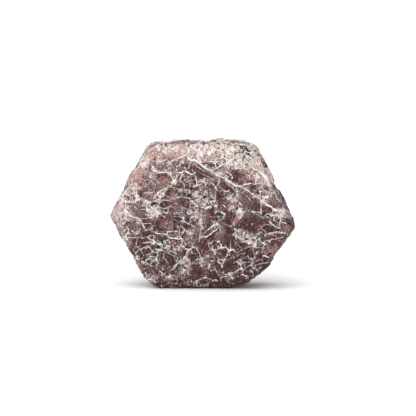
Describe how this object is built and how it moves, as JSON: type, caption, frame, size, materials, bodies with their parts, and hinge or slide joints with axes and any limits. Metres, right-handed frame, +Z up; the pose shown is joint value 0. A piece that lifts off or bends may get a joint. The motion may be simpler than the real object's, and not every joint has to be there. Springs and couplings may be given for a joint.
{
  "type": "natural ruby crystal",
  "caption": "Natural hexagonal ruby crystal, a thick tabular prism that stands on one of its own prism faces.",
  "frame": {"origin": "centre of the bounding box in plan, on the plane of the prism face that the crystal stands on", "axes": "+Z up; +X along the widest corner-to-corner width of the hexagon; Y along the crystal's own axis through its thickness, with the broad front basal face towards -Y"},
  "size_m": [0.0618, 0.0242, 0.0493],
  "materials": {
    "ruby": "opaque maroon corundum laced with pale veins, worn to a soft broken sheen"
  },
  "bodies": {
    "root": {"ruby_crystal": "ruby"}
  },
  "joints": []
}
